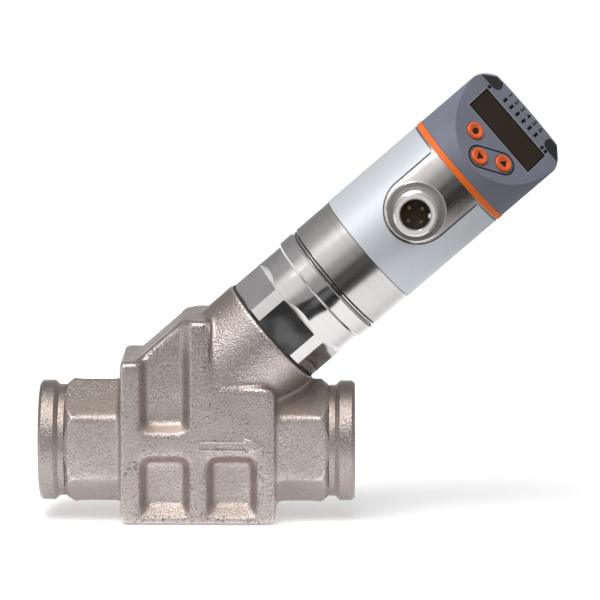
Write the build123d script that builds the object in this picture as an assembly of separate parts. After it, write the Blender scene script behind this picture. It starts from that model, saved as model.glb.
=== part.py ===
from build123d import *
import math
import os

# Flow sensor with a cast angle-seat body, a sprung piston and a display head that turns.
# Millimetres. The origin is the centre of the inlet port's face, on the pipe's axis.
# +X runs with the flow, +Z is up, and the display and the plug face -Y.

# Pipe ends: a port flange, a turned groove and a hexagon for the spanner on each side
pipe_length = 87.0
flange_radius = 16.6
flange_width = 4.1
flange_edge = 0.8
groove_radius = 15.4
groove_start = 5.4
groove_end = 7.0
hexagon_width = 30.0
hexagon_start = 9.2
inlet_thread_radius = 12.06
outlet_thread_radius = 12.26
port_thread_root = 13.15
port_thread_pitch = 1.814
port_thread_length = 16.0
passage_radius = 9.0

# Cast block between the hexagons
block_start = 22.6
block_end = 65.3
block_bottom = -21.0
block_half_depth = 17.4
block_edge = 0.9
block_corner = 1.6
floor_depth = 4.2
floor_edge = 1.2
left_post_width = 5.2
left_post_top = 24.2
middle_rib_start = 42.0
middle_rib_width = 4.2
right_post_width = 4.8
post_right = 47.4
post_top = 35.5
plate_top = 17.3
plate_corner = 3.0
lower_pocket_top = -1.8
upper_pocket_bottom = 4.5
pocket_corner = 2.6
pocket_draft = 28.0
ramp_start = 1.9
ramp_height = 3.6

# Branch that carries the sensor, measured along its own axis from the pipe's axis
branch_angle = 41.0
branch_crossing = 29.0
branch_radius = 16.8
branch_length = 46.6
branch_edge = 0.4
branch_facing = 0.4
rim_reach = 19.4
chamber_radius = 11.4
chamber_start = 8.0
branch_thread_length = 13.1
branch_thread_radius = 14.0
seat_bore_radius = 8.4
seat_bore_start = -6.0
seat_pocket_radius = 10.5
seat_pocket_start = 5.0
outlet_passage_start = 43.5

# Raised arrow that shows the flow's direction
arrow_start = 44.2
arrow_line_height = 1.0
arrow_length = 18.0
arrow_shaft_width = 2.4
arrow_head_width = 4.8
arrow_head_length = 5.2
arrow_stroke = 0.35
arrow_relief = 0.25

# Seat and piston
seat_height = 4.2
seat_inner_radius = 8.0
seal_wire_radius = 0.6
seal_groove_line = 1.5
piston_disc_radius = 10.2
piston_disc_thickness = 2.2
piston_nose_radius = 7.7
piston_nose_tip_radius = 3.0
piston_nose_length = 7.0
piston_rest_gap = 0.3
piston_travel = 9.0
stem_radius = 2.5
stem_tip_radius = 1.9
stem_reach = 1.9
magnet_radius = 3.5
magnet_length = 8.0
magnet_nut_length = 2.0
magnet_nut_radius = 3.2
spring_radius = 6.4
spring_wire_radius = 0.45
spring_turns = 7

# Screwed fitting between the body and the head
fitting_seal_thickness = 0.35
fitting_length = 16.65
fitting_radius = 16.3
fitting_edge = 0.4
fitting_flat_width = 30.0
fitting_flat_length = 9.3
fitting_runout = 1.7
fitting_turn = 2.0
fitting_bore_radius = 4.95
fitting_sides = 6
fitting_thread_depth = 1.09
spigot_length = 12.2
guide_radius = 9.5
guide_length = 6.0
tube_radius = 4.85
tube_wall = 0.5
tube_flange_radius = 7.2
tube_flange_thickness = 1.6
tube_clearance = 1.8
collar_overhang = 0.125
collar_length = 5.3
collar_edge = 0.7
slide_ring_inset = 0.475
slide_ring_length = 0.9
circlip_thickness = 1.0
circlip_overhang = 1.3
circlip_depth = 0.8
circlip_gap = 5.0

# Head housing, which stands turned a little on the branch's axis
head_turn = -2.5
running_gap = 0.08
seated_gap = 0.02
housing_radius = 16.875
housing_wall = 1.0
housing_edge = 0.3
housing_length = 44.2
base_plate_thickness = 3.0
base_plate_width = 3.875
label_start = 11.8
label_margin = 0.4
label_thickness = 0.15
label_cutout_radius = 9.4
label_cutout_rise = 0.7
label_corner = 1.4
ring_overhang = 0.275
ring_length = 1.75

# Head cover with its slanted face
head_overhang = 0.125
head_length = 23.5
head_wall = 2.2
face_cut_depth = 3.3
head_spigot_length = 6.0
head_spigot_wall = 1.1
face_rise = 3.2
face_angle = 45.0
shoulder_rise = 20.2
shoulder_width = 12.6
shoulder_round = 5.0
shoulder_side = 17.05
head_top_round = 2.0
window_width = 24.7
window_height = 9.0
window_bottom = 14.1
window_thickness = 1.4
led_pitch = 2.54
led_count = 6
led_width = 0.8
led_height = 1.7
led_line = 25.4
mark_line = 24.05
mark_height = 1.3
mark_places = (-12.0, 10.1, 11.5)
lens_inner = 9.4
lens_half_height = 2.1
lens_line = 27.0
lens_depth = 2.2
button_radius = 2.55
button_height = 0.55
button_edge = 0.3
button_travel = 0.6
button_side = 5.9
button_upper_line = 9.5
button_lower_line = 4.6
button_flange_radius = 3.0
button_flange_thickness = 0.8

# Electronics inside the head
board_thickness = 1.6
board_inset = 1.8
board_offset = 6.0
board_margin = 12.2
frame_ring_width = 2.075
frame_ring_height = 4.0
rail_width = 2.0
rail_depth = 1.0
display_board_depth = 6.6
display_board_bottom = 4.0
display_board_top = 23.6
switch_size = 3.4
board_post_radius = 1.2
board_post_places = ((9.6, 5.8), (11.6, 12.0))
board_low_half_width = 11.0
board_high_half_width = 13.0
switch_base_share = 0.6
plunger_radius = 0.85

# Plug connector, measured from the sensor's axis towards the front
plug_drop = 14.45
plug_boss_radius = 8.3
plug_boss_height = 0.475
plug_boss_edge = 0.3
plug_shoulder_radius = 6.6
plug_shoulder_length = 1.0
plug_thread_radius = 6.0
plug_thread_root = 5.45
plug_thread_pitch = 1.0
plug_reach = 9.25
plug_bore_radius = 4.15
plug_mouth_radius = 4.5
plug_mouth_depth = 0.35
plug_key_radius = 0.7
plug_neck_length = 0.8
plug_nut_radius = 8.0
carrier_sink = 6.2
carrier_length = 9.4
clamp_depth = 4.075
link_half_width = 4.6
link_height = 2.4
pin_radius = 0.5
pin_circle_radius = 2.5
pin_sink = 0.8
pin_tail = 1.9

# Places that follow from the sizes
overlap = 1.0
groove_share = 0.38
tolerance = 0.01
hexagon_radius = hexagon_width / math.sqrt(3)
chamber_end = branch_length - branch_thread_length
fitting_start = branch_length + fitting_seal_thickness
collar_start = fitting_start + fitting_length
slide_ring_start = collar_start + collar_length
spigot_end = collar_start + spigot_length
housing_start = slide_ring_start + slide_ring_length + running_gap
housing_bore = housing_radius - housing_wall
spigot_radius = housing_bore - base_plate_width
circlip_radius = spigot_radius + circlip_overhang
frame_ring_radius = housing_bore - frame_ring_width
board_half_width = frame_ring_radius - board_inset
collar_radius = housing_radius + collar_overhang
slide_ring_radius = housing_radius - slide_ring_inset
base_plate_end = housing_start + base_plate_thickness
housing_end = housing_start + housing_length
ring_end = housing_end + ring_length
board_length = housing_length - board_margin
label_end = housing_length - label_margin
ring_radius = housing_radius + ring_overhang
head_radius = housing_radius + head_overhang
head_start = ring_end + seated_gap
head_end = head_start + head_length
head_spigot_radius = housing_bore - seated_gap
head_spigot_bore = head_spigot_radius - head_spigot_wall
head_bore = head_radius - head_wall
face_start = head_start + face_rise
plug_axis = housing_end - plug_drop
plug_boss_face = housing_radius + plug_boss_height
plug_end = plug_boss_face + plug_reach
carrier_face = plug_end - carrier_sink
carrier_back = carrier_face - carrier_length
plug_neck_end = carrier_back - plug_neck_length
clamp_near = housing_radius - clamp_depth
pin_end = plug_end - pin_sink
pin_back = plug_neck_end - pin_tail
piston_rest = seat_pocket_start + seat_height + piston_rest_gap
piston_top = piston_rest + piston_disc_thickness
stem_end = spigot_end + stem_reach
magnet_start = stem_end - magnet_nut_length - magnet_length
guide_start = chamber_end - guide_length / 2
guide_end = guide_start + guide_length
tube_end = stem_end + piston_travel + tube_clearance
circlip_start = base_plate_end + running_gap

branch_slope = math.radians(branch_angle)
sensor_frame = Plane(
    origin=(branch_crossing, 0, 0),
    x_dir=(math.sin(branch_slope), 0, -math.cos(branch_slope)),
    z_dir=(math.cos(branch_slope), 0, math.sin(branch_slope)),
)
face_slope = math.radians(face_angle)
face_frame = Plane(
    origin=(0, -head_radius, face_start),
    x_dir=(1, 0, 0),
    z_dir=(0, -math.sin(face_slope), math.cos(face_slope)),
)


def on_sensor(piece):
    """Carry a piece made upright about Z to the branch's slanted axis."""
    return sensor_frame.location * piece


def on_head(piece):
    """Carry a piece of the head to the slanted axis, turned with the head."""
    return on_sensor(Rot(0, 0, head_turn) * piece)


def on_face(piece):
    """Carry a piece made on XY to the head's slanted face, which looks along its +Z."""
    return face_frame.location * piece


def rod(radius, start, end):
    return Pos(0, 0, start) * Cylinder(radius, end - start, align=(Align.CENTER, Align.CENTER, Align.MIN))


def tube(outer, inner, start, end):
    return rod(outer, start, end) - rod(inner, start - overlap, end + overlap)


def turned(points):
    """Turn an outline of (radius, height) points about Z."""
    return revolve(make_face(Plane.XZ * Polyline(*points, close=True)), Axis.Z)


def along_pipe(piece):
    return Rot(0, 90, 0) * piece


def forward_rod(radius, near, far):
    """A cylinder on the plug's axis, from one distance in front of the sensor's axis to another."""
    return Pos(0, 0, plug_axis) * Rot(90, 0, 0) * rod(radius, near, far)


def block(low, high):
    """A box between two corners."""
    size = [high[side] - low[side] for side in range(3)]
    return Pos(*low) * Box(*size, align=(Align.MIN, Align.MIN, Align.MIN))


def thread_outline(land_radius, root_radius, start, end, pitch):
    """Outline points of a thread drawn as rings, with flat lands between the grooves."""
    count = int((end - start) / pitch)
    margin = (end - start - count * pitch) / 2
    points = [(land_radius, start)]
    for turn in range(count):
        middle = start + margin + (turn + 0.5) * pitch
        points.append((land_radius, middle - groove_share * pitch))
        points.append((root_radius, middle))
        points.append((land_radius, middle + groove_share * pitch))
    points.append((land_radius, end))
    return points


def pipe_end():
    """Flange, groove and hexagon of the inlet side, from the port's face to the block."""
    core = turned([
        (0, 0),
        (flange_radius - flange_edge, 0),
        (flange_radius, flange_edge),
        (flange_radius, flange_width),
        (groove_radius, groove_start),
        (groove_radius, groove_end),
        (0, groove_end),
    ])
    hexagon_end = block_start + overlap
    prism = extrude(RegularPolygon(hexagon_radius, 6), hexagon_end)
    cone = turned([
        (0, groove_end),
        (hexagon_radius - (hexagon_start - groove_end), groove_end),
        (hexagon_radius + overlap, hexagon_start + overlap),
        (hexagon_radius + overlap, hexagon_end),
        (0, hexagon_end),
    ])
    return along_pipe(core + (prism & cone))


def rounded_outline(upper_left):
    """Front outline of the cast block, drawn on XY, with the given corners at its upper left."""
    outline = make_face(Polyline(
        (block_start, block_bottom),
        (block_end, block_bottom),
        (block_end, plate_top),
        (post_right, plate_top),
        (post_right, post_top),
        *upper_left,
        (block_start, left_post_top),
        close=True,
    ))
    low = outline.vertices().filter_by(lambda corner: abs(corner.Y - block_bottom) < tolerance)
    outline = fillet(low, block_corner)
    plate = outline.vertices().filter_by(lambda corner: abs(corner.Y - plate_top) < tolerance)
    return fillet(plate, plate_corner)


def core_outline():
    """Outline of the block's core, whose rim runs parallel to the branch."""
    def rim_x(height):
        return branch_crossing + (height * math.cos(branch_slope) - rim_reach) / math.sin(branch_slope)

    return rounded_outline([(rim_x(post_top), post_top), (rim_x(left_post_top), left_post_top)])


def plate_outline():
    """Outline of the posts, the ribs and the plate, before their pockets are sunk."""
    notch = middle_rib_start - pocket_corner
    return rounded_outline([(notch, post_top), (notch, left_post_top)])


def pocket(corners, rounded):
    """A pair of pockets with wide sloped walls, sunk from the front and the back of the block."""
    outline = make_face(Polyline(*corners, close=True))
    outline = fillet(outline.vertices().filter_by(rounded), pocket_corner)
    sunk = extrude(Plane.XZ.offset(-block_half_depth) * outline, floor_depth, taper=pocket_draft)
    return sunk + mirror(sunk, about=Plane.XZ)


def ramps():
    """Sloped ends that close the lower pockets above the block's bottom edge."""
    low = block_bottom + ramp_start
    ramp = make_face(Polyline(
        (0, block_bottom - overlap),
        (block_half_depth, block_bottom - overlap),
        (block_half_depth, low),
        (block_half_depth - floor_depth, low + ramp_height),
        (0, low + ramp_height),
        close=True,
    ))
    side = extrude(Plane.YZ.offset(block_start) * ramp, block_end - block_start)
    return side + mirror(side, about=Plane.XZ)


def ribs():
    """Plate, posts and ribs that stand proud of the pockets' floors at the front and the back."""
    plates = extrude(Plane.XZ * plate_outline(), block_half_depth, both=True)
    low = block_bottom - 2 * pocket_corner
    high = post_top + 2 * pocket_corner
    left = block_start + left_post_width
    rib_end = middle_rib_start + middle_rib_width
    right = block_end - right_post_width
    plates -= pocket(
        [(left, low), (middle_rib_start, low), (middle_rib_start, lower_pocket_top), (left, lower_pocket_top)],
        lambda corner: corner.Y > block_bottom,
    ) - ramps()
    plates -= pocket(
        [(rib_end, low), (right, low), (right, lower_pocket_top), (rib_end, lower_pocket_top)],
        lambda corner: corner.Y > block_bottom,
    ) - ramps()
    plates -= pocket(
        [
            (left, upper_pocket_bottom),
            (middle_rib_start, upper_pocket_bottom),
            (middle_rib_start, high),
            (left, high),
        ],
        lambda corner: corner.Y < post_top,
    )
    outer = plates.faces().filter_by(Axis.Y).filter_by(
        lambda face: abs(abs(face.center().Y) - block_half_depth) < tolerance
    )
    return fillet(outer.edges(), block_edge)


def branch():
    """Round branch that carries the fitting."""
    sleeve = on_sensor(turned([
        (0, 0),
        (branch_radius, 0),
        (branch_radius, branch_length - branch_edge),
        (branch_radius - branch_edge, branch_length),
        (0, branch_length),
    ]))
    post_middle = (middle_rib_start + post_right) / 2
    reach = 3 * branch_length
    return sleeve & block((post_middle, -reach, block_bottom + overlap), (reach, reach, reach))


def port(land_radius):
    """Threaded port with a cone down to the passage; both lands lie within the thread's tolerance."""
    end = port_thread_length + land_radius - passage_radius
    return turned(
        [(0, -overlap), (land_radius, -overlap)]
        + thread_outline(land_radius, port_thread_root, 0, port_thread_length, port_thread_pitch)
        + [(passage_radius, end), (0, end)]
    )


def flow_passages():
    """Everything cut out of the body: both ports, the seat and the piston's chamber."""
    inlet = along_pipe(port(inlet_thread_radius) + rod(passage_radius, 0, branch_crossing + overlap))
    outlet = port(outlet_thread_radius) + rod(passage_radius, 0, pipe_length - outlet_passage_start)
    outlet = mirror(along_pipe(outlet), about=Plane.YZ)
    chamber = turned([
        (0, seat_bore_start),
        (seat_bore_radius, seat_bore_start),
        (seat_bore_radius, seat_pocket_start),
        (seat_pocket_radius, seat_pocket_start),
        (seat_pocket_radius, chamber_start),
        (chamber_radius, chamber_start),
        (chamber_radius, chamber_end),
        (branch_thread_radius, chamber_end),
        (branch_thread_radius, branch_length + overlap),
        (0, branch_length + overlap),
    ])
    return inlet + Pos(pipe_length, 0, 0) * outlet + on_sensor(chamber)


def arrow():
    """Raised outline of the flow arrow on the front plate."""
    shaft = arrow_length - arrow_head_length
    points = [
        (0, -arrow_shaft_width / 2),
        (shaft, -arrow_shaft_width / 2),
        (shaft, -arrow_head_width / 2),
        (arrow_length, 0),
        (shaft, arrow_head_width / 2),
        (shaft, arrow_shaft_width / 2),
        (0, arrow_shaft_width / 2),
    ]
    shape = make_face(Polyline(*points, close=True))
    stroke = shape - offset(shape, -arrow_stroke)
    placed = Pos(arrow_start, arrow_line_height, 0) * stroke
    return extrude(Plane.XZ.offset(block_half_depth - arrow_relief) * placed, 2 * arrow_relief)


def valve_body():
    """Cast brass body: pipe ends, block with its posts, ribs and plate, and branch."""
    core = extrude(Plane.XZ * core_outline(), block_half_depth - floor_depth, both=True)
    core = fillet(core.faces().filter_by(Axis.Y).edges(), floor_edge)
    near_end = pipe_end()
    far_end = Pos(pipe_length, 0, 0) * mirror(pipe_end(), about=Plane.YZ)
    far_end += along_pipe(extrude(
        Pos(0, 0, block_end - overlap) * RegularPolygon(hexagon_radius, 6),
        pipe_length - block_start - block_end,
    ))
    body = core + branch() + ribs() + near_end + far_end
    facing = on_sensor(rod(branch_radius + branch_facing, branch_length, slide_ring_start))
    return body - facing - flow_passages() + arrow()


def seat_ring():
    """Steel ring the piston closes on, with a groove for its seal."""
    groove_middle = seat_pocket_start + seal_groove_line
    outer = seat_pocket_radius - seated_gap
    ring = turned([
        (seat_inner_radius, seat_pocket_start),
        (outer, seat_pocket_start),
        (outer, seat_pocket_start + seat_height),
        (seat_inner_radius + seal_wire_radius, seat_pocket_start + seat_height),
        (seat_inner_radius, seat_pocket_start + seat_height - seal_wire_radius),
    ])
    groove_depth = 2 * seal_wire_radius
    groove = tube(
        seat_pocket_radius + overlap,
        outer - groove_depth,
        groove_middle - seal_wire_radius,
        groove_middle + seal_wire_radius,
    )
    return on_sensor(ring - groove)


def seat_seal():
    """O-ring in the seat ring's groove."""
    middle = seat_pocket_start + seal_groove_line
    centre = seat_pocket_radius - seated_gap - seal_wire_radius
    return on_sensor(Pos(0, 0, middle) * Torus(centre - seated_gap, seal_wire_radius - seated_gap))


def piston():
    """Disc with a tapered nose below and a stem above, in one turned piece."""
    return on_sensor(turned([
        (0, piston_rest - piston_nose_length),
        (piston_nose_tip_radius, piston_rest - piston_nose_length),
        (piston_nose_radius, piston_rest),
        (piston_disc_radius, piston_rest),
        (piston_disc_radius, piston_top),
        (stem_radius, piston_top),
        (stem_radius, magnet_start),
        (stem_tip_radius, magnet_start),
        (stem_tip_radius, stem_end),
        (0, stem_end),
    ]))


def piston_magnet():
    """Ring magnet at the top of the stem, which the head senses through the tube."""
    return on_sensor(tube(magnet_radius, stem_tip_radius + seated_gap, magnet_start, magnet_start + magnet_length))


def magnet_nut():
    """Round nut that clamps the magnet on the stem."""
    start = magnet_start + magnet_length
    return on_sensor(tube(magnet_nut_radius, stem_tip_radius + seated_gap, start, stem_end))


def return_spring():
    """Compression spring between the piston's disc and the guide."""
    start = piston_top + spring_wire_radius + seated_gap
    height = guide_start - spring_wire_radius - seated_gap - start
    path = Pos(0, 0, start) * Helix(pitch=height / spring_turns, height=height, radius=spring_radius)
    section = Plane(origin=path @ 0, z_dir=path % 0) * Circle(spring_wire_radius)
    return on_sensor(sweep(section, path=path, is_frenet=True))


def stem_guide():
    """Bearing bush that carries the stem and holds the tube's flange from below."""
    return on_sensor(tube(guide_radius, stem_radius + running_gap / 2, guide_start, guide_end))


def separating_tube():
    """Pressure-tight tube, closed at the top, that keeps the water away from the sensing side."""
    outer = turned([
        (0, guide_end + seated_gap),
        (tube_flange_radius, guide_end + seated_gap),
        (tube_flange_radius, guide_end + tube_flange_thickness),
        (tube_radius, guide_end + tube_flange_thickness),
        (tube_radius, tube_end),
        (0, tube_end),
    ])
    return on_sensor(outer - rod(tube_radius - tube_wall, guide_end - overlap, tube_end - 2 * tube_wall))


def tube_seal():
    """O-ring above the tube's flange."""
    centre = tube_radius + 2 * seated_gap + seal_wire_radius
    middle = guide_end + tube_flange_thickness + seal_wire_radius + seated_gap
    return on_sensor(Pos(0, 0, middle) * Torus(centre, seal_wire_radius))


def flat_cutter():
    """Tool for one spanner flat on the fitting, with a sloped run-out at its end."""
    flat = fitting_flat_width / 2
    depth = 2 * fitting_radius
    slope = fitting_runout / (fitting_radius - flat)
    outline = make_face(Polyline(
        (flat, fitting_start - overlap),
        (depth, fitting_start - overlap),
        (depth, fitting_start + fitting_flat_length + (depth - flat) * slope),
        (flat, fitting_start + fitting_flat_length),
        close=True,
    ))
    return extrude(Plane.XZ * outline, fitting_radius, both=True)


def screw_fitting():
    """Turned steel fitting: thread into the branch, six spanner flats and the head's spigot."""
    thread = branch_thread_radius - running_gap
    body = turned(
        [(0, chamber_end + seated_gap)]
        + thread_outline(
            thread, thread - fitting_thread_depth, chamber_end + seated_gap, branch_length, port_thread_pitch
        )
        + [
            (thread, fitting_start),
            (fitting_radius - fitting_edge, fitting_start),
            (fitting_radius, fitting_start + fitting_edge),
            (fitting_radius, collar_start),
            (spigot_radius, collar_start),
            (spigot_radius, spigot_end),
            (0, spigot_end),
        ]
    )
    cutter = flat_cutter()
    for side in range(fitting_sides):
        body -= Rot(0, 0, fitting_turn + 360 * (side + 0.5) / fitting_sides) * cutter
    flange_bore = tube_flange_radius + running_gap
    flange_top = guide_end + tube_flange_thickness + 2 * seal_wire_radius + 2 * seated_gap
    body -= rod(guide_radius + seated_gap, chamber_end - overlap, guide_end)
    body -= rod(flange_bore, guide_end - overlap, flange_top)
    body -= rod(fitting_bore_radius, guide_end, spigot_end + overlap)
    body -= tube(
        spigot_radius + overlap,
        spigot_radius - circlip_depth,
        circlip_start,
        circlip_start + circlip_thickness + running_gap,
    )
    return on_sensor(body)


def fitting_seal():
    """Flat black seal between the branch and the fitting's flange."""
    return on_sensor(tube(
        branch_radius - branch_edge,
        branch_thread_radius + running_gap,
        branch_length + seated_gap,
        fitting_start - seated_gap,
    ))


def collar_ring():
    """Chamfered steel collar on the spigot, under the turning head."""
    inner = spigot_radius + seated_gap
    end = collar_start + collar_length
    return on_sensor(turned([
        (inner, collar_start + seated_gap),
        (collar_radius - collar_edge, collar_start + seated_gap),
        (collar_radius, collar_start + collar_edge),
        (collar_radius, end - collar_edge),
        (collar_radius - collar_edge, end),
        (inner, end),
    ]))


def slide_ring():
    """Thin ring that the head turns on."""
    end = slide_ring_start + slide_ring_length
    return on_sensor(tube(slide_ring_radius, spigot_radius + seated_gap, slide_ring_start + seated_gap, end))


def circlip():
    """Open spring ring in the spigot's groove, which keeps the head from lifting off."""
    start = circlip_start + running_gap / 2
    ring = tube(circlip_radius, spigot_radius - circlip_depth + seated_gap, start, start + circlip_thickness)
    half = circlip_gap / 2
    gap = block((0, -half, start - overlap), (circlip_radius + overlap, half, start + 2 * overlap))
    return on_sensor(ring - gap)


def base_plate():
    """Steel plate that closes the housing below and runs on the spigot."""
    return on_head(tube(housing_bore - seated_gap, spigot_radius + running_gap, housing_start, base_plate_end))


def housing_shell():
    """Thin steel sleeve with the plug's hole in its front."""
    sleeve = turned([
        (housing_bore, housing_start),
        (housing_radius - housing_edge, housing_start),
        (housing_radius, housing_start + housing_edge),
        (housing_radius, housing_end - seated_gap),
        (housing_bore, housing_end - seated_gap),
    ])
    hole = forward_rod(plug_shoulder_radius + seated_gap, 0, 2 * housing_radius)
    return on_head(sleeve - hole)


def label_film():
    """Silver film round the housing, cut out in a deep U below the plug."""
    start = housing_start + label_start
    end = housing_start + label_end
    film = tube(housing_radius + label_thickness, housing_radius + seated_gap, start, end)
    centre = plug_axis + label_cutout_rise
    straight = make_face(Polyline(
        (-label_cutout_radius, centre),
        (label_cutout_radius, centre),
        (label_cutout_radius, end + overlap),
        (-label_cutout_radius, end + overlap),
        close=True,
    ))
    window = straight + Pos(0, centre) * Circle(label_cutout_radius)
    cutter = extrude(Plane.XZ * window, 2 * housing_radius)
    corner = label_cutout_radius + label_corner
    for side in (-1, 1):
        spandrel = make_face(Polyline(
            (side * label_cutout_radius, end - label_corner),
            (side * label_cutout_radius, end + overlap),
            (side * corner, end + overlap),
            (side * corner, end - label_corner),
            close=True,
        )) - Pos(side * corner, end - label_corner) * Circle(label_corner)
        cutter += extrude(Plane.XZ * spandrel, 2 * housing_radius)
    return on_head(film - cutter)


def seal_ring():
    """Orange ring between the housing and the head cover."""
    ring = turned([
        (head_spigot_radius + seated_gap, housing_end),
        (ring_radius - label_thickness, housing_end),
        (ring_radius, housing_end + label_thickness),
        (ring_radius, ring_end - label_thickness),
        (ring_radius - label_thickness, ring_end),
        (head_spigot_radius + seated_gap, ring_end),
    ])
    return on_head(ring)


def head_form():
    """Outer form of the head cover, with its slanted face and rounded shoulders."""
    shoulder = head_start + shoulder_rise
    outline = make_face(Polyline(
        (-shoulder_side, head_start),
        (shoulder_side, head_start),
        (shoulder_side, shoulder),
        (shoulder_width, head_end),
        (-shoulder_width, head_end),
        (-shoulder_side, shoulder),
        close=True,
    ))
    sides = outline.vertices().filter_by(lambda corner: abs(corner.Y - shoulder) < tolerance)
    outline = fillet(sides, shoulder_round)
    form = rod(head_radius, head_start, head_end) & extrude(Plane.XZ * outline, 2 * head_radius, both=True)
    form -= above_face(0)
    curved = form.edges().filter_by(GeomType.CIRCLE)
    rim = curved.filter_by(lambda edge: abs(edge.center().Z - head_end) < tolerance)
    return fillet(rim, head_top_round)


def above_face(depth):
    """Everything in front of the slanted face, or of a plane sunk below it."""
    return on_face(block(
        (-3 * head_radius, -3 * head_radius, -depth),
        (3 * head_radius, 6 * head_radius, 6 * head_radius),
    ))


def face_slot(left, right, low, high, near, far):
    """A box on the slanted face between two depths below it."""
    return on_face(block((left, low, -far), (right, high, -near)))


def button_places():
    return {
        "button_enter": (-button_side, button_upper_line),
        "button_down": (0, button_lower_line),
        "button_up": (button_side, button_upper_line),
    }


def lens_tool(side, slack):
    """Pocket of a status lens in one top corner of the slanted face, rounded towards the middle."""
    reach = lens_half_height + slack
    inner = lens_inner + lens_half_height
    outline = make_face(Polyline(
        (side * inner, lens_line - reach),
        (side * 2 * head_radius, lens_line - reach),
        (side * 2 * head_radius, lens_line + 2 * reach),
        (side * inner, lens_line + 2 * reach),
        close=True,
    ))
    tip = Pos(side * inner, lens_line) * Circle(reach)
    return on_face(Pos(0, 0, -lens_depth - slack) * extrude(outline + tip, 2 * head_radius))


def led_places():
    """Centre and height of each indicator window on the slanted face."""
    first = -led_pitch * (led_count - 1) / 2
    places = [(first + led_pitch * number, led_line, led_height) for number in range(led_count)]
    return places + [(place, mark_line, mark_height) for place in mark_places]


def led_slot(place, slack):
    across, line, height = place
    half_width = led_width / 2 + slack
    half_height = height / 2 + slack
    return face_slot(
        across - half_width, across + half_width, line - half_height, line + half_height,
        -overlap * (slack > 0), face_cut_depth,
    )


def head_cover():
    """Grey moulded cover with a slanted face, hollow inside, on a spigot in the housing."""
    spigot_start = housing_end - head_spigot_length
    cover = head_form() + rod(head_spigot_radius, spigot_start, head_start)
    inside = rod(head_bore, head_start, head_end - head_wall) - above_face(head_wall)
    cover -= inside + rod(head_spigot_bore, spigot_start - overlap, head_start + overlap)
    post_depth = display_board_depth - head_wall + seated_gap
    for side in (-1, 1):
        for across, line in board_post_places:
            post = Pos(side * across, line, -display_board_depth + seated_gap) * Cylinder(
                board_post_radius, post_depth, align=(Align.CENTER, Align.CENTER, Align.MIN)
            )
            cover += on_face(post) & rod(head_bore, spigot_start, head_end)
        cover -= lens_tool(side, seated_gap)
    half = window_width / 2 + seated_gap
    cover -= face_slot(
        -half, half, window_bottom - seated_gap, window_bottom + window_height + seated_gap, -overlap, face_cut_depth
    )
    for place in led_places():
        cover -= led_slot(place, seated_gap)
    for across, line in button_places().values():
        cover -= on_face(Pos(across, line, 0) * Cylinder(button_radius + running_gap, 3 * head_wall))
    return on_head(cover)


def display_window():
    """Dark window over the digits, flush with the face."""
    half = window_width / 2
    return on_head(face_slot(-half, half, window_bottom, window_bottom + window_height, 0, window_thickness))


def display_module():
    """Digit block behind the window, standing on its board."""
    half = window_width / 2 - running_gap
    return on_head(face_slot(
        -half, half, window_bottom + running_gap, window_bottom + window_height - running_gap,
        window_thickness + seated_gap, display_board_depth - seated_gap,
    ))


def led_windows():
    """Small dark windows of the indicator lights, one group of separate inserts."""
    lights = [led_slot(place, 0) for place in led_places()]
    return on_head(Compound(children=[light.solid() for light in lights]))


def status_lens(side):
    """Dark textured lens of a status light, let into a top corner of the cover."""
    return on_head(head_form() & lens_tool(side, 0))


def button(name):
    """Round key: a cap through the face and a flange behind it."""
    across, line = button_places()[name]
    flange_top = -head_wall - running_gap
    key = turned([
        (0, flange_top - button_flange_thickness),
        (button_flange_radius, flange_top - button_flange_thickness),
        (button_flange_radius, flange_top),
        (button_radius, flange_top),
        (button_radius, button_height - button_edge),
        (button_radius - button_edge, button_height),
        (0, button_height),
    ])
    return on_head(on_face(Pos(across, line, 0) * key))


def button_switches():
    """Three small key switches on the display board, one under each button."""
    top = -head_wall - running_gap - button_flange_thickness - button_travel - running_gap
    bottom = -display_board_depth + seated_gap
    base_top = bottom + (top - bottom) * switch_base_share
    switches = []
    for across, line in button_places().values():
        base = block(
            (across - switch_size / 2, line - switch_size / 2, bottom),
            (across + switch_size / 2, line + switch_size / 2, base_top),
        )
        plunger = Pos(across, line, 0) * rod(plunger_radius, bottom, top)
        switches.append(on_face(base + plunger).solid())
    return on_head(Compound(children=switches))


def display_board():
    """Slanted circuit board behind the face."""
    outline = make_face(Polyline(
        (-board_low_half_width, display_board_bottom),
        (board_low_half_width, display_board_bottom),
        (board_high_half_width, button_upper_line),
        (board_high_half_width, display_board_top),
        (-board_high_half_width, display_board_top),
        (-board_high_half_width, button_upper_line),
        close=True,
    ))
    board = on_face(Pos(0, 0, -display_board_depth - board_thickness) * extrude(outline, board_thickness))
    return on_head(board & rod(head_bore - seated_gap, housing_end, head_end))


def board_frame():
    """Moulded frame: a ring on the base plate and two grooved rails for the main board."""
    ring_top = base_plate_end + frame_ring_height
    ring = tube(housing_bore - seated_gap, frame_ring_radius, base_plate_end + seated_gap, ring_top)
    rail_end = ring_top + board_length - 2 * rail_depth
    for side in (-1, 1):
        rail = block(
            (board_half_width - rail_depth, board_offset - rail_depth, base_plate_end + seated_gap),
            (board_half_width + rail_width - rail_depth, board_offset + board_thickness + rail_depth, rail_end),
        )
        groove = block(
            (0, board_offset - seated_gap, ring_top),
            (board_half_width + seated_gap, board_offset + board_thickness + seated_gap, rail_end + overlap),
        )
        rail = (rail & rod(housing_bore - seated_gap, base_plate_end, rail_end)) - groove
        rail -= rod(frame_ring_radius, base_plate_end - overlap, ring_top)
        ring += rail if side > 0 else mirror(rail, about=Plane.YZ)
    return on_head(ring)


def main_board():
    """Upright circuit board in the frame's rails."""
    start = base_plate_end + frame_ring_height + seated_gap
    return on_head(block(
        (-board_half_width, board_offset, start),
        (board_half_width, board_offset + board_thickness, start + board_length),
    ))


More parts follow.
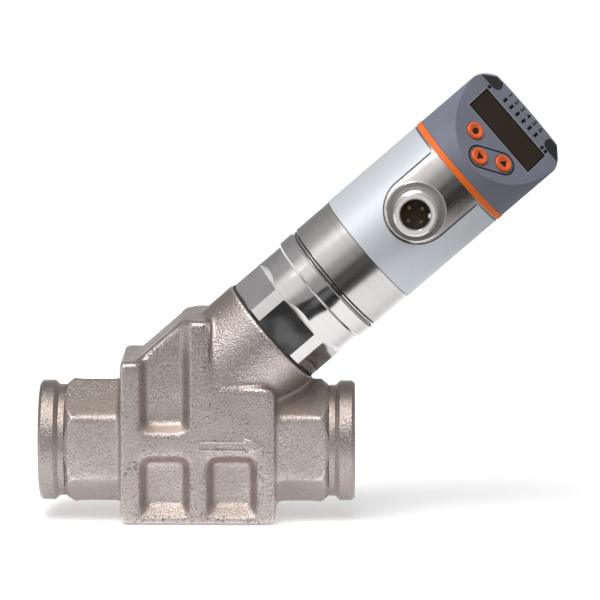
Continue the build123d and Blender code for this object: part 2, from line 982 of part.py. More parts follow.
def hall_sensor():
    """Field sensor on the main board, close beside the tube that the magnet moves in."""
    half = board_thickness
    middle = stem_end + piston_travel / 2
    return on_head(block(
        (-half, tube_radius + 2 * running_gap, middle - 2 * half),
        (half, board_offset - seated_gap, middle + 2 * half),
    ))


def plug_shell():
    """Steel plug body: boss on the housing, threaded sleeve outside and a neck inside."""
    shoulder_end = plug_boss_face + plug_shoulder_length
    edge = plug_thread_radius - plug_thread_root
    outer = turned(
        [(0, plug_neck_end), (plug_shoulder_radius, plug_neck_end), (plug_shoulder_radius, shoulder_end)]
        + thread_outline(
            plug_thread_radius, plug_thread_root, shoulder_end + seated_gap, plug_end - edge, plug_thread_pitch
        )
        + [(plug_thread_root, plug_end), (0, plug_end)]
    )
    bore = turned([
        (0, carrier_back),
        (plug_bore_radius, carrier_back),
        (plug_bore_radius, plug_end - plug_mouth_depth),
        (plug_mouth_radius, plug_end + seated_gap),
        (plug_mouth_radius, plug_end + overlap),
        (0, plug_end + overlap),
    ])
    key = Pos(plug_bore_radius, 0, 0) * rod(plug_key_radius, carrier_face, plug_end - plug_mouth_depth)
    boss = turned([
        (0, 0),
        (plug_boss_radius, 0),
        (plug_boss_radius, plug_boss_face - plug_boss_edge),
        (plug_boss_radius - plug_boss_edge, plug_boss_face),
        (0, plug_boss_face),
    ])
    facing = Pos(0, 0, plug_axis) * Rot(90, 0, 0)
    boss = facing * (boss - bore) - rod(housing_radius + seated_gap, housing_start, housing_end)
    back = rod(pin_circle_radius + 2 * pin_radius, plug_neck_end - overlap, carrier_back + overlap)
    return on_head(boss + facing * (outer - bore - back + Rot(0, 0, 45) * key))


def plug_clamp():
    """Saddle ring that fits the housing's inner wall under the plug's nut."""
    saddle = forward_rod(plug_nut_radius, clamp_near, housing_radius)
    saddle &= rod(housing_bore - seated_gap, housing_start, housing_end)
    return on_head(saddle - forward_rod(plug_shoulder_radius + seated_gap, 0, 2 * housing_radius))


def plug_nut():
    """Nut on the plug's neck inside the housing."""
    nut = forward_rod(plug_nut_radius, plug_neck_end + seated_gap, clamp_near - seated_gap)
    return on_head(nut - forward_rod(plug_shoulder_radius + seated_gap, 0, 2 * housing_radius))


def pin_places():
    """Centres of the pins on their circle, seen from the front."""
    reach = pin_circle_radius
    return [(reach, 0), (0, reach), (-reach, 0), (0, -reach)]


def contact_carrier():
    """Dark insulator that holds the pins in the plug."""
    carrier = forward_rod(plug_bore_radius - seated_gap, carrier_back + seated_gap, carrier_face)
    for across, up in pin_places():
        carrier -= Pos(across, 0, up) * forward_rod(pin_radius + seated_gap, 0, 2 * housing_radius)
    return on_head(carrier)


def contact_pins():
    """Gilded pins, one group of separate rods."""
    pins = [
        (Pos(across, 0, up) * forward_rod(pin_radius, pin_back, pin_end)).solid() for across, up in pin_places()
    ]
    return on_head(Compound(children=pins))


def plug_board():
    """Small round board that the pins are soldered to."""
    board = forward_rod(plug_shoulder_radius, plug_neck_end - board_thickness, plug_neck_end - seated_gap)
    for across, up in pin_places():
        board -= Pos(across, 0, up) * forward_rod(pin_radius + seated_gap, 0, 2 * housing_radius)
    return on_head(board)


def board_link():
    """Pin strip that joins the plug's board to the main board."""
    low = plug_axis + pin_circle_radius + 2 * pin_radius
    return on_head(block(
        (-link_half_width, -plug_neck_end + board_thickness + seated_gap, low),
        (link_half_width, board_offset - seated_gap, low + link_height),
    ))


pieces = {
    "valve_body": valve_body,
    "seat_ring": seat_ring,
    "seat_seal": seat_seal,
    "piston": piston,
    "piston_magnet": piston_magnet,
    "magnet_nut": magnet_nut,
    "return_spring": return_spring,
    "stem_guide": stem_guide,
    "separating_tube": separating_tube,
    "tube_seal": tube_seal,
    "screw_fitting": screw_fitting,
    "fitting_seal": fitting_seal,
    "collar_ring": collar_ring,
    "slide_ring": slide_ring,
    "circlip": circlip,
    "base_plate": base_plate,
    "housing_shell": housing_shell,
    "label_film": label_film,
    "seal_ring": seal_ring,
    "head_cover": head_cover,
    "display_window": display_window,
    "display_module": display_module,
    "led_windows": led_windows,
    "status_lens_left": lambda: status_lens(-1),
    "status_lens_right": lambda: status_lens(1),
    "button_enter": lambda: button("button_enter"),
    "button_down": lambda: button("button_down"),
    "button_up": lambda: button("button_up"),
    "button_switches": button_switches,
    "display_board": display_board,
    "board_frame": board_frame,
    "main_board": main_board,
    "hall_sensor": hall_sensor,
    "plug_shell": plug_shell,
    "plug_clamp": plug_clamp,
    "plug_nut": plug_nut,
    "contact_carrier": contact_carrier,
    "contact_pins": contact_pins,
    "plug_board": plug_board,
    "board_link": board_link,
}

os.makedirs("parts", exist_ok=True)
for name, make in pieces.items():
    export_step(make(), f"parts/{name}.step")
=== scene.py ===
import math

import bmesh
import bpy
from mathutils import Matrix, Vector


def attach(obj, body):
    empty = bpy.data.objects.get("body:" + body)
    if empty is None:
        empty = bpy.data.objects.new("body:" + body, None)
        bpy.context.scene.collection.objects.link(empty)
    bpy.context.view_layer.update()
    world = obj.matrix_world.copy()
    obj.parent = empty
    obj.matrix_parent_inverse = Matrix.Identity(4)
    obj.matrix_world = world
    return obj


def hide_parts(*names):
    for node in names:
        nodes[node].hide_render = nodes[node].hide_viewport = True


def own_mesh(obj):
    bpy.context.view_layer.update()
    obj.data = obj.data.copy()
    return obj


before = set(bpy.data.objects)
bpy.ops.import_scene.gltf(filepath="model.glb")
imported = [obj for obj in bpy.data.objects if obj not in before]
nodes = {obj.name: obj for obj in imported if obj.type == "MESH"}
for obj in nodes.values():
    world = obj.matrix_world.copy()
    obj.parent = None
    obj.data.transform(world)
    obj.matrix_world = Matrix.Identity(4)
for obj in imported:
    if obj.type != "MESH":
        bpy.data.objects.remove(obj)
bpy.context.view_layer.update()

# The table the sensor stands on: a pale, nearly white sheet, lit a little from below, that runs on behind it.
# Its front and right edges stop just outside the picture, as the edges of a bench do.
table_mesh = bpy.data.meshes.new("bench_sheet")
table_edges = [(-1.6, -0.125), (0.163, -0.125), (0.163, 0.1), (0.33, 2.6), (-1.6, 2.6)]
table_top = -0.02105
table_mesh.from_pydata([(x, y, table_top) for x, y in table_edges], [], [range(len(table_edges))])
table = bpy.data.objects.new("bench_sheet", table_mesh)
bpy.context.scene.collection.objects.link(table)
sheet_finish = bpy.data.materials.new("bench_sheet_white")
sheet_finish.use_nodes = True
sheet_tree = sheet_finish.node_tree
sheet_shader = sheet_tree.nodes["Principled BSDF"]
sheet_shader.inputs["Roughness"].default_value = 0.75
sheet_mottle = sheet_tree.nodes.new("ShaderNodeTexNoise")
sheet_mottle.inputs["Scale"].default_value = 6.0
sheet_ramp = sheet_tree.nodes.new("ShaderNodeValToRGB")
sheet_ramp.color_ramp.elements[0].color = (0.9, 0.9, 0.9, 1)
sheet_ramp.color_ramp.elements[1].color = (0.93, 0.93, 0.93, 1)
sheet_tree.links.new(sheet_mottle.outputs["Fac"], sheet_ramp.inputs["Fac"])
sheet_tree.links.new(sheet_ramp.outputs["Color"], sheet_shader.inputs["Base Color"])
sheet_shader.inputs["Emission Color"].default_value = (1.0, 1.0, 1.0, 1)
glow_depth, glow_front, glow_back = 0.6, 0.36, 0.62
sheet_back = sheet_tree.nodes.new("ShaderNodeMapRange")
sheet_back.inputs["From Min"].default_value = 0.0
sheet_back.inputs["From Max"].default_value = glow_depth
sheet_back.inputs["To Min"].default_value = glow_front
sheet_back.inputs["To Max"].default_value = glow_back
sheet_place = sheet_tree.nodes.new("ShaderNodeSeparateXYZ")
sheet_tree.links.new(sheet_tree.nodes.new("ShaderNodeTexCoord").outputs["Object"], sheet_place.inputs[0])
sheet_tree.links.new(sheet_place.outputs["Y"], sheet_back.inputs["Value"])
sheet_tree.links.new(sheet_back.outputs["Result"], sheet_shader.inputs["Emission Strength"])
table_mesh.materials.append(sheet_finish)

# The studio round it: soft white light from above and from both sides, white behind the
# sensor, and an unlit strip of room behind the camera that the round steel parts mirror.
studio = bpy.data.worlds.new("studio")
bpy.context.scene.world = studio
studio.use_nodes = True
studio_tree = studio.node_tree
studio_light = studio_tree.nodes["Background"]
studio_place = studio_tree.nodes.new("ShaderNodeTexCoord")
studio_axes = studio_tree.nodes.new("ShaderNodeSeparateXYZ")
studio_tree.links.new(studio_place.outputs["Generated"], studio_axes.inputs[0])


def studio_step(source, low, high, out_low, out_high):
    step = studio_tree.nodes.new("ShaderNodeMapRange")
    step.interpolation_type = "SMOOTHSTEP"
    step.inputs["From Min"].default_value = low
    step.inputs["From Max"].default_value = high
    step.inputs["To Min"].default_value = out_low
    step.inputs["To Max"].default_value = out_high
    studio_tree.links.new(source, step.inputs["Value"])
    return step.outputs["Result"]


def studio_math(operation, first, second):
    node = studio_tree.nodes.new("ShaderNodeMath")
    node.operation = operation
    for socket, value in zip(node.inputs, (first, second)):
        if isinstance(value, (int, float)):
            socket.default_value = value
        else:
            studio_tree.links.new(value, socket)
    return node.outputs[0]


def studio_spot(way, low, high, gain):
    """A soft bright or dark patch of studio round one direction."""
    facing = studio_tree.nodes.new("ShaderNodeVectorMath")
    facing.operation = "DOT_PRODUCT"
    facing.inputs[1].default_value = tuple(Vector(way).normalized())
    studio_tree.links.new(studio_place.outputs["Generated"], facing.inputs[0])
    return studio_step(facing.outputs["Value"], low, high, 0.0, gain)


side_window, side_window_gain = (-0.60, -0.58, 0.55), 0.50
low_gleam, low_gleam_gain = (0.12, -0.98, -0.12), 0.16
room_darkness = 0.93
room_ahead = studio_step(studio_axes.outputs["Y"], -0.62, -0.40, 1.0, 0.0)
room_height = studio_step(studio_axes.outputs["Z"], -0.03, 0.06, 1.0, 0.0)
room_shade = studio_math("MULTIPLY", room_ahead, room_height)
studio_level = studio_step(studio_axes.outputs["Z"], 0.0, 0.9, 0.40, 0.48)
studio_level = studio_math("MULTIPLY", studio_level, studio_step(studio_axes.outputs["Y"], 0.1, 0.7, 1.0, 0.75))
studio_level = studio_math("ADD", studio_level, studio_spot(side_window, 0.84, 0.975, side_window_gain))
room_left = studio_math("SUBTRACT", 1.0, studio_math("MULTIPLY", room_shade, room_darkness))
studio_level = studio_math("MULTIPLY", studio_level, room_left)
studio_level = studio_math("ADD", studio_level, studio_spot(low_gleam, 0.985, 0.998, low_gleam_gain))
behind = studio_step(studio_axes.outputs["Y"], 0.955, 0.99, 0.0, 1.0)
rays = studio_tree.nodes.new("ShaderNodeLightPath")
mirrored = studio_math("MULTIPLY", rays.outputs["Is Glossy Ray"], behind)
seen = studio_math("MAXIMUM", rays.outputs["Is Camera Ray"], rays.outputs["Is Transmission Ray"])
seen = studio_math("MAXIMUM", seen, mirrored)
backdrop = studio_tree.nodes.new("ShaderNodeMix")
studio_tree.links.new(seen, backdrop.inputs["Factor"])
studio_tree.links.new(studio_level, backdrop.inputs["A"])
backdrop.inputs["B"].default_value = 1.0
studio_tree.links.new(backdrop.outputs["Result"], studio_light.inputs["Strength"])
studio_light.inputs["Color"].default_value = (1.0, 1.0, 1.0, 1)

# One soft lamp, a wide square panel that hangs high in front and a little to the left.
# It lights the table and the tops of the ribs.
lamp_aim = Vector((0.07, 0, 0.03))
key_lamp = bpy.data.lights.new("key_lamp", "AREA")
key_lamp.size = 0.7
key_lamp.energy = 7.5
key_light = bpy.data.objects.new("key_lamp", key_lamp)
key_light.location = (-0.15, -0.45, 0.95)
key_light.rotation_mode = "QUATERNION"
key_light.rotation_quaternion = (lamp_aim - key_light.location).to_track_quat("-Z", "Y")
bpy.context.scene.collection.objects.link(key_light)

# The camera: a long lens far back, a little above the pipe and nearly square on to it.
# Its picture is 165.7 mm wide where the sensor stands.
aim = Vector((0.0718, 0.0, 0.0392))
camera_turn, camera_rise = math.radians(1.0), math.radians(8.0)
back = Vector((
    math.sin(camera_turn) * math.cos(camera_rise),
    -math.cos(camera_turn) * math.cos(camera_rise),
    math.sin(camera_rise),
))
camera_reach, picture_width = 1.460, 0.1657
lens = bpy.data.cameras.new("camera")
lens.sensor_width = 36.0
lens.lens = lens.sensor_width * camera_reach / picture_width
lens.clip_start = 0.05
lens.clip_end = 20.0
camera = bpy.data.objects.new("camera", lens)
camera.location = aim + back * camera_reach
camera.rotation_mode = "QUATERNION"
camera.rotation_quaternion = (-back).to_track_quat("-Z", "Y")
bpy.context.scene.collection.objects.link(camera)
bpy.context.scene.camera = camera
bpy.context.scene.view_settings.view_transform = "Standard"

# The cast body: one piece of nickel-plated brass with both pipe ends, the ribbed block and
# the branch. It leaves the sand with round edges and a grainy skin, finer in the pockets.


def new_group(name, inputs, outputs):
    group = bpy.data.node_groups.new(name, "ShaderNodeTree")
    for label, kind, value in inputs:
        socket = group.interface.new_socket(label, in_out="INPUT", socket_type=kind)
        if value is not None:
            socket.default_value = value
    for label, kind in outputs:
        group.interface.new_socket(label, in_out="OUTPUT", socket_type=kind)
    return group, group.nodes.new("NodeGroupInput"), group.nodes.new("NodeGroupOutput")


def add_math(tree, operation, *values, clamp=False):
    node = tree.nodes.new("ShaderNodeMath")
    node.operation = operation
    node.use_clamp = clamp
    for socket, value in zip(node.inputs, values):
        if isinstance(value, (int, float)):
            socket.default_value = value
        else:
            tree.links.new(value, socket)
    return node.outputs[0]


def add_noise(tree, place, scale, detail=2.0, roughness=0.5):
    node = tree.nodes.new("ShaderNodeTexNoise")
    node.inputs["Scale"].default_value = scale
    node.inputs["Detail"].default_value = detail
    node.inputs["Roughness"].default_value = roughness
    tree.links.new(place, node.inputs["Vector"])
    return node.outputs["Fac"]


def add_range(tree, value, low, high, out_low=0.0, out_high=1.0, kind="SMOOTHSTEP"):
    node = tree.nodes.new("ShaderNodeMapRange")
    node.interpolation_type = kind
    for label, number in zip(("From Min", "From Max", "To Min", "To Max"), (low, high, out_low, out_high)):
        node.inputs[label].default_value = number
    tree.links.new(value, node.inputs["Value"])
    return node.outputs["Result"]


def add_mix(tree, factor, first, second):
    node = tree.nodes.new("ShaderNodeMix")
    node.data_type = "RGBA"
    for socket, value in ((node.inputs[0], factor), (node.inputs[6], first), (node.inputs[7], second)):
        if isinstance(value, (int, float)):
            socket.default_value = value
        elif isinstance(value, tuple):
            socket.default_value = (*value, 1)
        else:
            tree.links.new(value, socket)
    return node.outputs[2]


def add_bump(tree, height, strength, distance, normal=None):
    node = tree.nodes.new("ShaderNodeBump")
    node.inputs["Strength"].default_value = strength
    node.inputs["Distance"].default_value = distance
    tree.links.new(height, node.inputs["Height"])
    if normal is not None:
        tree.links.new(normal, node.inputs["Normal"])
    return node.outputs["Normal"]


def new_finish(name, **settings):
    """A new material; each setting is written on the shader's own socket."""
    finish = bpy.data.materials.new(name)
    finish.use_nodes = True
    shader = finish.node_tree.nodes["Principled BSDF"]
    for label, value in settings.items():
        shader.inputs[label.replace("_", " ")].default_value = value
    return finish, finish.node_tree, shader


def give(node, finish):
    """Every face of a CAD node gets the finish."""
    slots = nodes[node].material_slots
    if not slots:
        nodes[node].data.materials.append(finish)
    for place in slots:
        place.material = finish


casting_skin, skin_in, skin_out = new_group(
    "casting_skin",
    [("Base", "NodeSocketColor", (0.5, 0.45, 0.42, 1))],
    [("Colour", "NodeSocketColor"), ("Height", "NodeSocketFloat"), ("Roughness", "NodeSocketFloat")],
)
skin_place = casting_skin.nodes.new("ShaderNodeTexCoord").outputs["Object"]
skin_cloud = add_noise(casting_skin, skin_place, 90.0, 3.0)
skin_grain = add_noise(casting_skin, skin_place, 2300.0, 2.0, 0.6)
skin_pebble = add_noise(casting_skin, skin_place, 760.0, 3.0, 0.6)
skin_axes = casting_skin.nodes.new("ShaderNodeSeparateXYZ")
casting_skin.links.new(skin_place, skin_axes.inputs[0])
plate_middle, plate_half = 0.0435, (0.0185, 0.0215)
plate_depth = (0.0160, 0.0171)
skin_depth = add_math(casting_skin, "ABSOLUTE", skin_axes.outputs["Y"])
skin_front = add_range(casting_skin, skin_depth, *plate_depth)
skin_across = add_math(casting_skin, "SUBTRACT", skin_axes.outputs["X"], plate_middle)
skin_middle = add_range(casting_skin, add_math(casting_skin, "ABSOLUTE", skin_across), *plate_half, 1.0, 0.0)
skin_coarse = add_math(casting_skin, "MULTIPLY", skin_front, skin_middle)
skin_pits = add_range(casting_skin, add_noise(casting_skin, skin_place, 1250.0, 1.0, 0.5), 0.62, 0.69)
skin_patches = add_range(casting_skin, add_noise(casting_skin, skin_place, 190.0, 2.0), 0.42, 0.60)
skin_pits = add_math(casting_skin, "MULTIPLY", skin_pits, skin_patches)
skin_pits = add_math(casting_skin, "MULTIPLY", skin_pits, add_range(casting_skin, skin_coarse, 0.0, 1.0, 0.12, 0.8))
skin_height = add_math(casting_skin, "MULTIPLY", skin_pebble, add_range(casting_skin, skin_coarse, 0.0, 1.0, 0.15, 0.6))
skin_height = add_math(casting_skin, "ADD", skin_height, add_math(casting_skin, "MULTIPLY", skin_grain, 0.85))
skin_height = add_math(casting_skin, "SUBTRACT", skin_height, skin_pits)
cloud_brown, grain_dark, pit_dark = (0.40, 0.33, 0.28), (0.12, 0.1, 0.085), (0.05, 0.04, 0.035)
cloud_share = add_range(casting_skin, skin_cloud, 0.3, 0.7, 0.0, 0.35)
skin_tint = add_mix(casting_skin, cloud_share, skin_in.outputs["Base"], cloud_brown)
grain_share = add_range(casting_skin, skin_grain, 0.35, 0.62, 0.34, 0.0)
skin_tint = add_mix(casting_skin, grain_share, skin_tint, grain_dark)
pit_share = add_math(casting_skin, "MULTIPLY", skin_pits, 0.6)
skin_tint = add_mix(casting_skin, pit_share, skin_tint, pit_dark)
casting_skin.links.new(skin_tint, skin_out.inputs["Colour"])
casting_skin.links.new(skin_height, skin_out.inputs["Height"])
casting_skin.links.new(add_range(casting_skin, skin_cloud, 0.3, 0.7, 0.25, 0.35), skin_out.inputs["Roughness"])


def cast_finish(name, base, edge_highlight_share, speck_share):
    """Nickel on the casting: painted brown shade where it faces up, a painted highlight on its convex edges, dark
    specks beside them.
    """
    finish, tree, shader = new_finish(name, Metallic=0.9)
    skin = tree.nodes.new("ShaderNodeGroup")
    skin.node_tree = casting_skin
    skin.inputs["Base"].default_value = (*base, 1)
    surface = tree.nodes.new("ShaderNodeNewGeometry")
    facing = tree.nodes.new("ShaderNodeSeparateXYZ")
    tree.links.new(surface.outputs["Normal"], facing.inputs[0])
    place = tree.nodes.new("ShaderNodeTexCoord").outputs["Object"]
    # Painted shade: surfaces that face up are painted a darker brown.
    painted_top_shade = add_range(tree, facing.outputs["Z"], 0.1, 0.9, 0.0, 0.5)
    tint = add_mix(tree, painted_top_shade, skin.outputs["Colour"], (0.36, 0.29, 0.225))
    # Painted highlight: convex edges, found by pointiness, are painted a bright nickel.
    painted_edge_highlight = add_range(tree, surface.outputs["Pointiness"], 0.508, 0.535, 0.0, edge_highlight_share)
    tint = add_mix(tree, painted_edge_highlight, tint, (0.88, 0.81, 0.78))
    beside = add_range(tree, surface.outputs["Pointiness"], 0.503, 0.508, 0.0, speck_share)
    specks = add_range(tree, add_noise(tree, place, 1900.0, 2.0, 0.5), 0.56, 0.64)
    tint = add_mix(tree, add_math(tree, "MULTIPLY", beside, specks), tint, (0.07, 0.055, 0.048))
    tree.links.new(tint, shader.inputs["Base Color"])
    tree.links.new(skin.outputs["Roughness"], shader.inputs["Roughness"])
    tree.links.new(add_bump(tree, skin.outputs["Height"], 0.9, 0.00026), shader.inputs["Normal"])
    return finish


cast_nickel = cast_finish("cast_nickel", (0.65, 0.575, 0.56), 0.65, 0.5)
flange_nickel = cast_finish("flange_nickel", (0.46, 0.41, 0.395), 0.0, 0.0)
# A lighter copy of the cast nickel for the flow arrow's bead: a painted highlight.
painted_highlight_nickel = cast_finish("painted_highlight_nickel", (0.86, 0.79, 0.76), 0.0, 0.0)
give("valve_body", cast_nickel)

# The skin of the casting: the body's form with every edge and corner run soft, as metal
# leaves the mould. The flanges, grooves, threads and bores are cut afterwards and stay sharp.

port_cut, outlet_face = 0.0080, 0.087
soft_from, soft_branch_end, soft_fade, soft_passes = 0.0098, 0.0448, 0.002, 60
bore_reach, bore_near, bore_far = 0.0134, 0.0246, 0.0623
body_form = bpy.data.objects.new("casting_form", nodes["valve_body"].data.copy())
bpy.context.scene.collection.objects.link(body_form)
remesh = body_form.modifiers.new("remesh", "REMESH")
remesh.mode = "VOXEL"
remesh.voxel_size = 0.00042
bpy.context.view_layer.update()
skin_mesh = bpy.data.meshes.new_from_object(body_form.evaluated_get(bpy.context.evaluated_depsgraph_get()))
bpy.data.objects.remove(body_form)
skin_mesh.name = "casting_skin"
slope = math.radians(41.0)
branch_way = Vector((math.cos(slope), 0.0, math.sin(slope)))
branch_foot = Vector((0.029, 0.0, 0.0))


def softness(point):
    """How far the mould's soft skin reaches: 1 on the casting, 0 on what is machined."""
    ends = min(point.x - soft_from, outlet_face - soft_from - point.x) / soft_fade
    up_branch = (point - branch_foot).dot(branch_way)
    return max(0.0, min(1.0, ends, (soft_branch_end - up_branch) / soft_fade))


skin_piece = bpy.data.objects.new("casting_skin", skin_mesh)
bpy.context.scene.collection.objects.link(skin_piece)
soft_share = skin_piece.vertex_groups.new(name="soft")
for vertex in skin_mesh.vertices:
    soft_share.add([vertex.index], softness(vertex.co), "REPLACE")
smooth = skin_piece.modifiers.new("smooth", "SMOOTH")
smooth.factor = 0.5
smooth.iterations = soft_passes
smooth.vertex_group = "soft"
bpy.context.view_layer.update()
skin_mesh = bpy.data.meshes.new_from_object(skin_piece.evaluated_get(bpy.context.evaluated_depsgraph_get()))
skin_piece.modifiers.clear()


def machined(face):
    """Is this face on a flange, a groove, a thread or a bore?"""
    point = face.calc_center_median()
    if point.x < port_cut or point.x > outlet_face - port_cut:
        return True
    from_pipe = math.hypot(point.y, point.z)
    return from_pipe < bore_reach and not bore_near < point.x < bore_far


def cut_mesh(name, source, keep_machined):
    """The machined faces of a mesh, or the cast ones, parted cleanly behind each flange."""
    mesh = bmesh.new()
    mesh.from_mesh(source)
    for place in (port_cut, outlet_face - port_cut):
        bmesh.ops.bisect_plane(
            mesh, geom=mesh.verts[:] + mesh.edges[:] + mesh.faces[:], plane_co=(place, 0, 0), plane_no=(1, 0, 0)
        )
    bmesh.ops.delete(mesh, geom=[face for face in mesh.faces if machined(face) != keep_machined], context="FACES")
    for face in mesh.faces:
        face.smooth = True
    data = bpy.data.meshes.new(name)
    mesh.to_mesh(data)
    mesh.free()
    data.materials.clear()
    data.materials.append(flange_nickel if keep_machined else cast_nickel)
    return data


skin_piece.data = cut_mesh("casting_skin", skin_mesh, False)
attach(skin_piece, "valve")
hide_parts("valve_body")
ports_mesh = cut_mesh("machined_ports", nodes["valve_body"].data, True)
ports_mesh.set_sharp_from_angle(angle=math.radians(30.0))
ports_piece = bpy.data.objects.new("machined_ports", ports_mesh)
bpy.context.scene.collection.objects.link(ports_piece)
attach(ports_piece, "valve")

# The flow arrow on the front plate: a low bead of metal, cast with the body, that draws the arrow's outline.
# Its nickel is a lighter copy of the body's, a painted highlight.

arrow_start, arrow_height = 0.0442, 0.0010
arrow_length, arrow_head = 0.0180, 0.0052
arrow_half_shaft, arrow_half_head = 0.0011, 0.0022
arrow_bead, arrow_depth = 0.00042, -0.01752
arrow_neck = arrow_length - arrow_head
arrow_points = [
    (0.0, -arrow_half_shaft), (arrow_neck, -arrow_half_shaft), (arrow_neck, -arrow_half_head), (arrow_length, 0.0),
    (arrow_neck, arrow_half_head), (arrow_neck, arrow_half_shaft), (0.0, arrow_half_shaft),
]
arrow_line = bpy.data.curves.new("flow_arrow", "CURVE")
arrow_line.dimensions = "3D"
arrow_line.bevel_depth = arrow_bead
arrow_line.bevel_resolution = 3
arrow_run = arrow_line.splines.new("POLY")
arrow_run.points.add(len(arrow_points) - 1)
for place, (along, up) in zip(arrow_run.points, arrow_points):
    place.co = (arrow_start + along, arrow_depth, arrow_height + up, 1.0)
arrow_run.use_cyclic_u = True
arrow_line.materials.append(painted_highlight_nickel)
arrow_piece = bpy.data.objects.new("flow_arrow", arrow_line)
bpy.context.scene.collection.objects.link(arrow_piece)
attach(arrow_piece, "valve")

# Turned steel: the screwed fitting, its collar, the head's sleeve and base plate and the plug.
# Each is bar or tube turned on a lathe, so fine rings run round it and soften what it mirrors.

branch_down = Vector((math.sin(slope), 0.0, -math.cos(slope)))
head_turn = math.radians(-2.5)


def add_dot(tree, place, way, offset=0.0):
    """How far a place lies along a direction, in metres."""
    node = tree.nodes.new("ShaderNodeVectorMath")
    node.operation = "DOT_PRODUCT"
    node.inputs[1].default_value = tuple(way)
    tree.links.new(place, node.inputs[0])
    return add_math(tree, "SUBTRACT", node.outputs["Value"], offset)


turning_lines, _, turning_out = new_group(
    "turning_lines", [], [("Height", "NodeSocketFloat"), ("Shade", "NodeSocketFloat"), ("Smear", "NodeSocketFloat")]
)
turning_place = turning_lines.nodes.new("ShaderNodeTexCoord").outputs["Object"]
turning_along = add_dot(turning_lines, turning_place, branch_way)
turning_point = turning_lines.nodes.new("ShaderNodeCombineXYZ")
turning_lines.links.new(turning_along, turning_point.inputs["X"])
turning_fine = add_noise(turning_lines, turning_point.outputs[0], 9000.0, 2.0, 0.7)
turning_broad = add_noise(turning_lines, turning_point.outputs[0], 900.0, 2.0, 0.5)
turning_smear = add_noise(turning_lines, turning_place, 60.0, 3.0, 0.6)
turning_lines.links.new(turning_fine, turning_out.inputs["Height"])
turning_lines.links.new(turning_broad, turning_out.inputs["Shade"])
turning_lines.links.new(turning_smear, turning_out.inputs["Smear"])


def turned_steel(name, colour, rough_low, rough_high, ring_depth, wave_depth=0.0):
    finish, tree, shader = new_finish(name, Metallic=1.0, Anisotropic=0.35)
    lines = tree.nodes.new("ShaderNodeGroup")
    lines.node_tree = turning_lines
    darker = tuple(0.95 * value for value in colour)
    tint = add_mix(tree, add_range(tree, lines.outputs["Shade"], 0.35, 0.65), darker, colour)
    tree.links.new(tint, shader.inputs["Base Color"])
    rough = add_range(tree, lines.outputs["Smear"], 0.3, 0.7, rough_low, rough_high)
    tree.links.new(rough, shader.inputs["Roughness"])
    wave = add_noise(tree, tree.nodes.new("ShaderNodeTexCoord").outputs["Object"], 75.0, 1.0)
    waved = add_bump(tree, wave, 1.0, wave_depth)
    tree.links.new(add_bump(tree, lines.outputs["Height"], 0.25, ring_depth, waved), shader.inputs["Normal"])
    return finish


bright_steel = turned_steel("bright_turned_steel", (0.69, 0.675, 0.67), 0.12, 0.18, 0.0000010, 0.0009)
sleeve_steel = turned_steel("brushed_sleeve_steel", (0.62, 0.59, 0.58), 0.2, 0.26, 0.0000012)
inner_steel = turned_steel("inner_turned_steel", (0.55, 0.55, 0.55), 0.25, 0.35, 0.000006)
plug_nickel = turned_steel("plug_satin_nickel", (0.74, 0.71, 0.68), 0.2, 0.28, 0.000001)
plug_nickel.node_tree.nodes["Principled BSDF"].inputs["Metallic"].default_value = 0.85
give("plug_shell", plug_nickel)
plug_face = turned_steel("plug_faced_nickel", (0.92, 0.915, 0.90), 0.45, 0.55, 0.000001)
plug_face.node_tree.nodes["Principled BSDF"].inputs["Metallic"].default_value = 0.25
plug_out = Matrix.Rotation(head_turn, 3, branch_way) @ Vector((0.0, -1.0, 0.0))
plug_face_from = 0.0262
plug_mesh = nodes["plug_shell"].data
plug_mesh.materials.append(plug_face)
for side in plug_mesh.polygons:
    if side.normal.dot(plug_out) > 0.9 and (side.center - branch_foot).dot(plug_out) > plug_face_from:
        side.material_index = len(plug_mesh.materials) - 1
for steel_node in ("screw_fitting", "collar_ring"):
    give(steel_node, bright_steel)
for steel_node in ("housing_shell", "base_plate"):
    give(steel_node, sleeve_steel)
for steel_node in ("seat_ring", "piston", "magnet_nut", "separating_tube", "plug_nut"):
    give(steel_node, inner_steel)

# The slide ring's steel washer: it shows as one fine bright line between two dark ones, in the
# gap under the turning head.


def band_mesh(name, outer, inner, low, high):
    """A closed band of a given height between two outlines with the same number of points."""
    mesh = bmesh.new()
    count = len(outer)
    rings = [
        [mesh.verts.new((x, y, z)) for x, y in outline] for outline, z in
        ((outer, low), (outer, high), (inner, high), (inner, low))
    ]
    for first, second in zip(rings, rings[1:] + rings[:1]):
        for turn in range(count):
            mesh.faces.new((first[turn], first[(turn + 1) % count], second[(turn + 1) % count], second[turn]))
    bmesh.ops.recalc_face_normals(mesh, faces=mesh.faces)
    data = bpy.data.meshes.new(name)
    mesh.to_mesh(data)
    mesh.free()
    return data


def circle(radius, turns=120):
    angles = [2 * math.pi * turn / turns for turn in range(turns)]
    return [(radius * math.cos(angle), radius * math.sin(angle)) for angle in angles]


washer_start, washer_end = 0.06922, 0.06952
washer_outer, washer_inner = 0.0167, 0.0160
washer_mesh = band_mesh("slide_washer", circle(washer_outer), circle(washer_inner), washer_start, washer_end)
washer_mesh.transform(Matrix.Translation(branch_foot) @ branch_way.to_track_quat("Z", "Y").to_matrix().to_4x4())
washer_mesh.materials.append(bright_steel)
washer = bpy.data.objects.new("slide_washer", washer_mesh)
bpy.context.scene.collection.objects.link(washer)
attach(washer, "valve")
